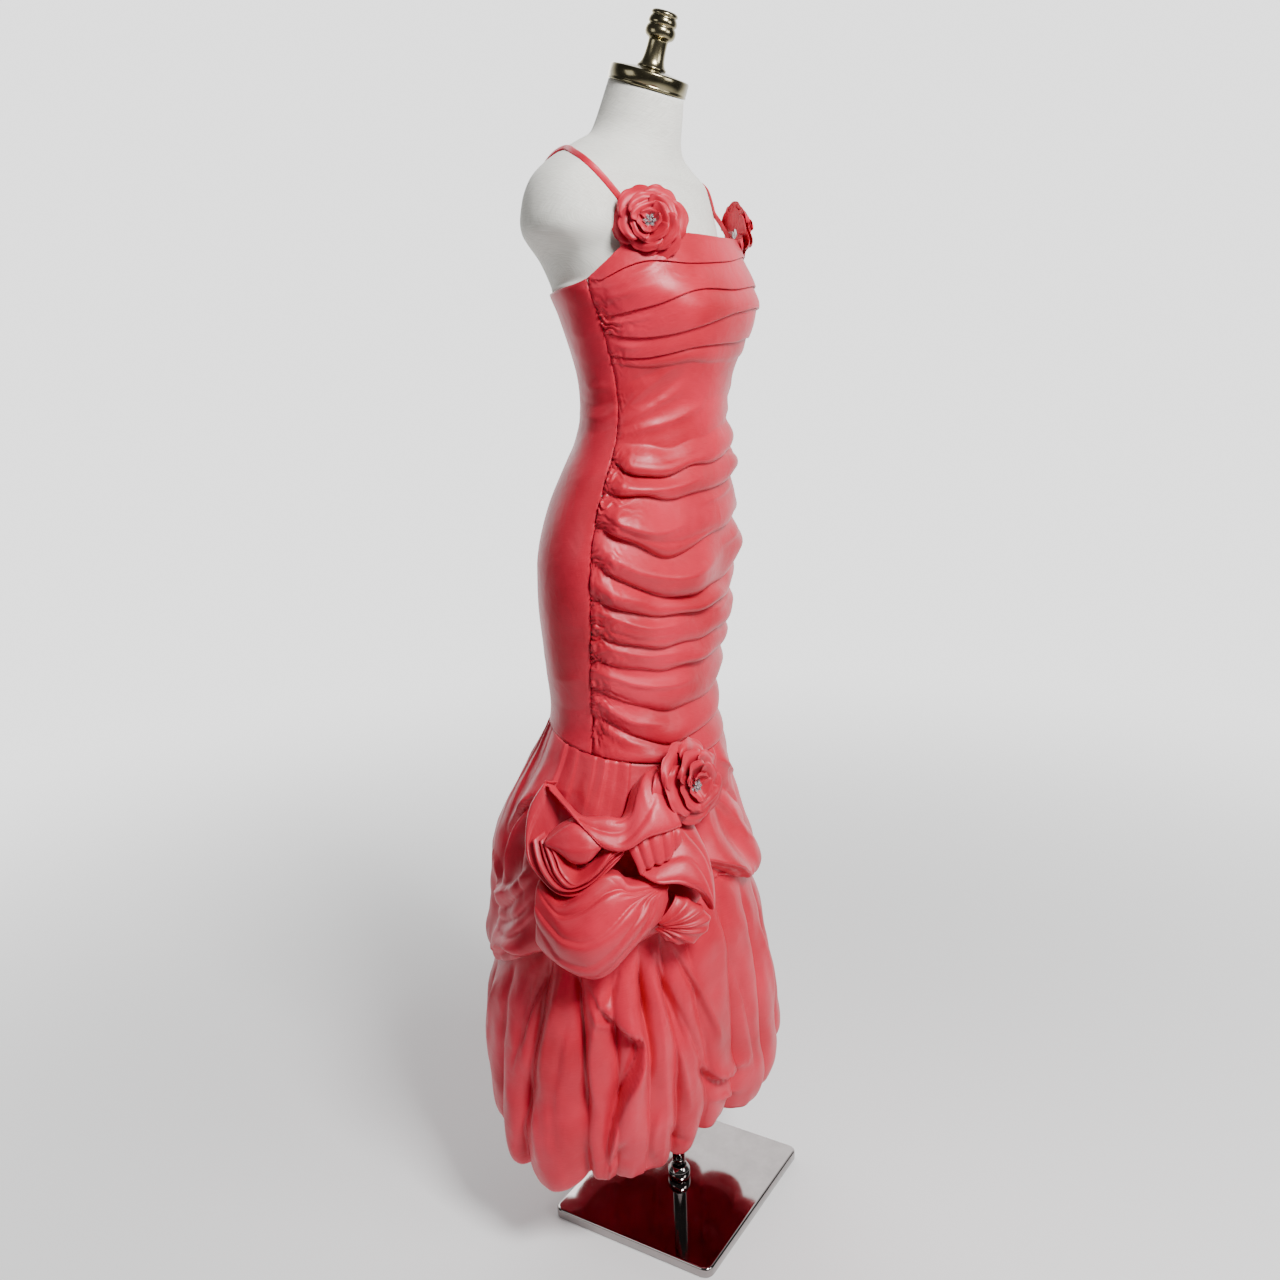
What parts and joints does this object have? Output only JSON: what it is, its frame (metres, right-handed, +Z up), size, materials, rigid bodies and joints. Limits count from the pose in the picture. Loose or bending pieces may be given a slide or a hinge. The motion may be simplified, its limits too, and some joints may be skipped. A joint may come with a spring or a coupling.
{
  "type": "evening gown on dress form",
  "caption": "Mermaid evening gown with gathered front, puffed tiers, draped rosette and cloth flowers, on a limbless dress form with neck cap, pole and plate.",
  "frame": {"origin": "centre of the base plate's underside, on the pole's axis", "axes": "+Z up, -Y the gown's front, -X the wearer's right"},
  "size_m": [0.5188, 0.421, 1.6756],
  "materials": {
    "satin": "coral satin with a soft sheen",
    "linen": "off-white linen, fine weave",
    "antique_brass": "dark antique brass, polished",
    "mirror_steel": "mirror polish",
    "rhinestone": "foil-backed cut stones in silver cups",
    "zip_tape": "woven tape"
  },
  "bodies": {
    "root": {"base_plate": "mirror_steel", "pole_collar": "mirror_steel", "pole": "mirror_steel", "form_torso": "linen", "neck_cap": "antique_brass", "finial": "antique_brass", "front_panel": "satin", "back_panel_right": "satin", "back_panel_left": "satin", "back_zip": "zip_tape", "flounce_upper": "satin", "flounce_lower": "satin", "drape_petal": "satin", "drape_collar": "satin", "drape_swag": "satin", "drape_loop": "satin", "drape_knot": "satin", "drape_swirl": "satin", "flower_right_outer": "satin", "flower_right_inner": "satin", "flower_right_jewel": "rhinestone", "flower_left_outer": "satin", "flower_left_inner": "satin", "flower_left_jewel": "rhinestone", "flower_knee_outer": "satin", "flower_knee_inner": "satin", "flower_knee_jewel": "rhinestone", "strap_right": "satin", "strap_left": "satin"}
  },
  "joints": []
}
